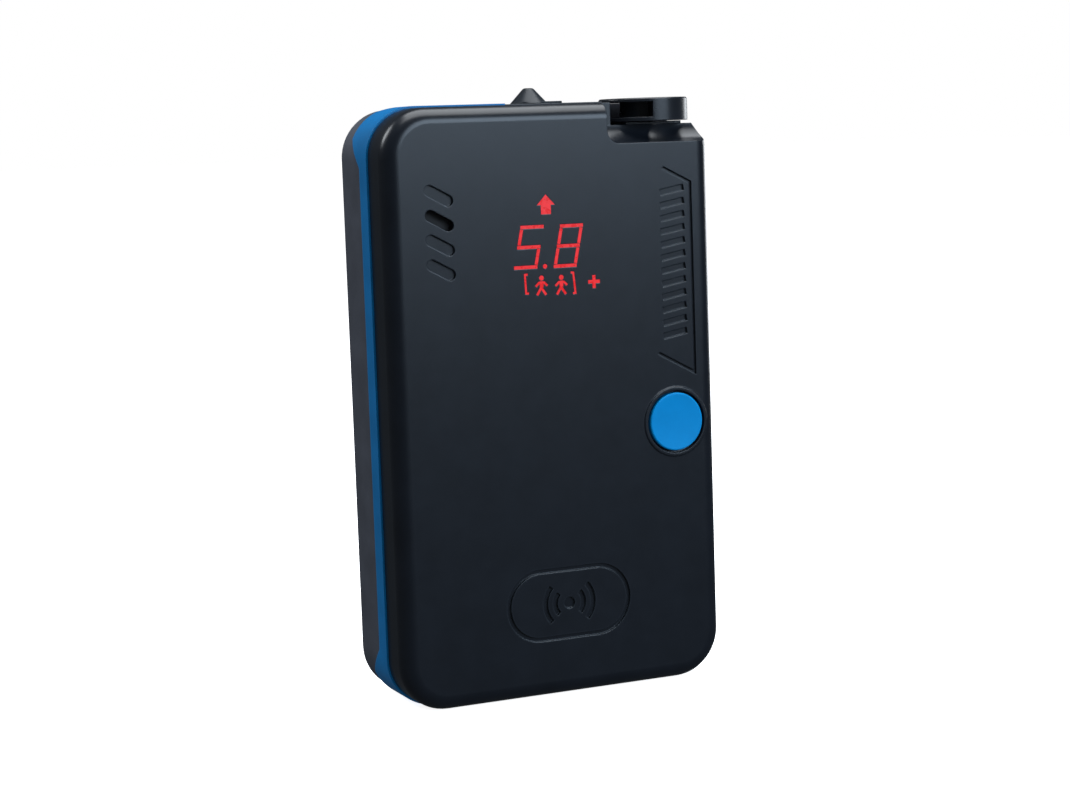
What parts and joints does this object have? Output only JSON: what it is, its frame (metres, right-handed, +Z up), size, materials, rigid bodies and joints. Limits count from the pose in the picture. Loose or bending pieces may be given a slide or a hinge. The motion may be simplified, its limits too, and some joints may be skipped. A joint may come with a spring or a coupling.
{
  "type": "avalanche transceiver",
  "caption": "Pocket avalanche transceiver: two dark shells on a blue bumper band, red light display, search button, sliding mode switch, lanyard swivel and hinged battery door.",
  "frame": {"origin": "middle of the foot, on the surface it stands on", "axes": "+Z up along the case, -Y the display face, +X to the right seen from the display side"},
  "size_m": [0.0664, 0.0249, 0.1132],
  "materials": {
    "shell_gloss": "semi-gloss moulded, fine texture",
    "shell_matte": "matte moulded",
    "door_matte": "matte moulded",
    "band_blue": "satin elastomer",
    "bridge_black": "satin",
    "slider_black": "satin",
    "swivel_black": "semi-gloss",
    "button_blue": "satin",
    "display_red": "lit from behind",
    "lamp_red": "lit",
    "inner_plastic": "moulded",
    "switch_plastic": "moulded",
    "seal_rubber": "soft",
    "screw_black": "blackened",
    "screw_steel": "turned",
    "spring_steel": "bright",
    "insert_brass": "knurled",
    "magnet": "plated",
    "speaker_metal": "pressed",
    "board_green": "solder mask",
    "chip_black": "moulded",
    "ferrite": "sintered",
    "coil_copper": "enamelled",
    "contact_nickel": "nickel plated",
    "cell_jacket": "plain jacket",
    "label_grey": "blank film"
  },
  "bodies": {
    "case": {"front_shell": "shell_gloss", "back_shell": "shell_matte", "bumper_band": "band_blue", "top_bridge": "bridge_black", "case_gasket": "seal_rubber", "track_end": "bridge_black", "swivel_screw": "screw_black", "swivel_insert": "insert_brass", "button_boot": "seal_rubber", "tact_switch": "switch_plastic", "display_guide": "display_red", "display_module": "inner_plastic", "display_lamps": "lamp_red", "speaker": "speaker_metal", "speaker_seal": "seal_rubber", "circuit_board": "board_green", "board_components": "chip_black", "antenna_x_core": "ferrite", "antenna_x_coil": "coil_copper", "antenna_y_core": "ferrite", "antenna_y_coil": "coil_copper", "antenna_z_core": "ferrite", "antenna_z_coil": "coil_copper", "battery_tray": "inner_plastic", "contact_plates": "contact_nickel", "contact_springs": "contact_nickel", "cell_left": "cell_jacket", "cell_middle": "cell_jacket", "cell_right": "cell_jacket", "battery_gasket": "seal_rubber", "hinge_pin": "spring_steel", "door_insert": "insert_brass", "case_screws": "screw_black", "case_inserts": "insert_brass", "rating_label": "label_grey"},
    "slider": {"mode_slider": "slider_black", "slider_magnet": "magnet", "detent_leaf": "spring_steel"},
    "swivel": {"swivel": "swivel_black"},
    "button": {"search_button": "button_blue", "button_plunger": "inner_plastic"},
    "door": {"battery_door": "door_matte"},
    "clip": {"screw_clip": "spring_steel"},
    "screw": {"door_screw": "screw_steel"}
  },
  "joints": [
    {"name": "mode_slide", "type": "slide", "parent": "case", "child": "slider", "axis": [1, 0, 0], "range_m": [0, 0.0056]},
    {"name": "swivel_turn", "type": "hinge", "parent": "case", "child": "swivel", "pos_m": [0.0234, -0.0033, 0.1085], "axis": [0, 0, 1], "continuous": true},
    {"name": "button_press", "type": "slide", "parent": "case", "child": "button", "axis": [0, 1, 0], "range_m": [0, 0.0008], "stiffness_N_per_m": 800, "springref_m": -0.001},
    {"name": "door_hinge", "type": "hinge", "parent": "case", "child": "door", "pos_m": [0, 0.0113, 0.06505], "axis": [1, 0, 0], "range_deg": [0, 100]},
    {"name": "clip_lift", "type": "slide", "parent": "door", "child": "clip", "axis": [0, 1, 0], "range_m": [0, 0.0034]},
    {"name": "screw_turn", "type": "hinge", "parent": "clip", "child": "screw", "pos_m": [0, 0.0113, 0.0087], "axis": [0, 1, 0], "range_deg": [0, 1750]}
  ],
  "couplings": [
    {"joint": "screw_turn", "follows": "clip_lift", "rad_per_m": 8976}
  ]
}
